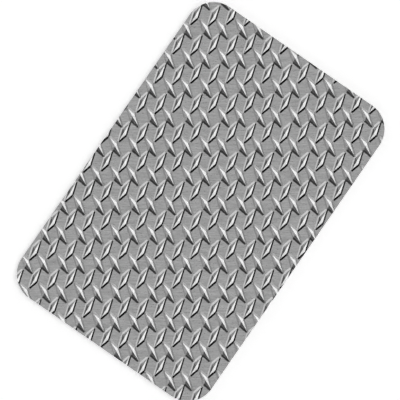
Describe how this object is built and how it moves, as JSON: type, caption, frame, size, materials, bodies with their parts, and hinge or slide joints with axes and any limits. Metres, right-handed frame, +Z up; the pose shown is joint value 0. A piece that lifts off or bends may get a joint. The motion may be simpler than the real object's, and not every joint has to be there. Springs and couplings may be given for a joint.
{
  "type": "checker steel plate",
  "caption": "Flat steel plate with rounded corners and a raised non-slip pattern of slim, faceted diamond lugs in rows that lean alternately left and right.",
  "frame": {"origin": "middle of the plain underside, which is the plate's resting face", "axes": "+X along the long side of the plate, +Y along the short side, +Z up through the sheet towards the lugs"},
  "size_m": [0.368, 0.24, 0.007],
  "materials": {
    "steel": "hot-rolled plate with a bright satin surface, finely brushed along the rows of lugs, and lug facets polished a little brighter"
  },
  "bodies": {
    "root": {"checker_plate": "steel"}
  },
  "joints": []
}
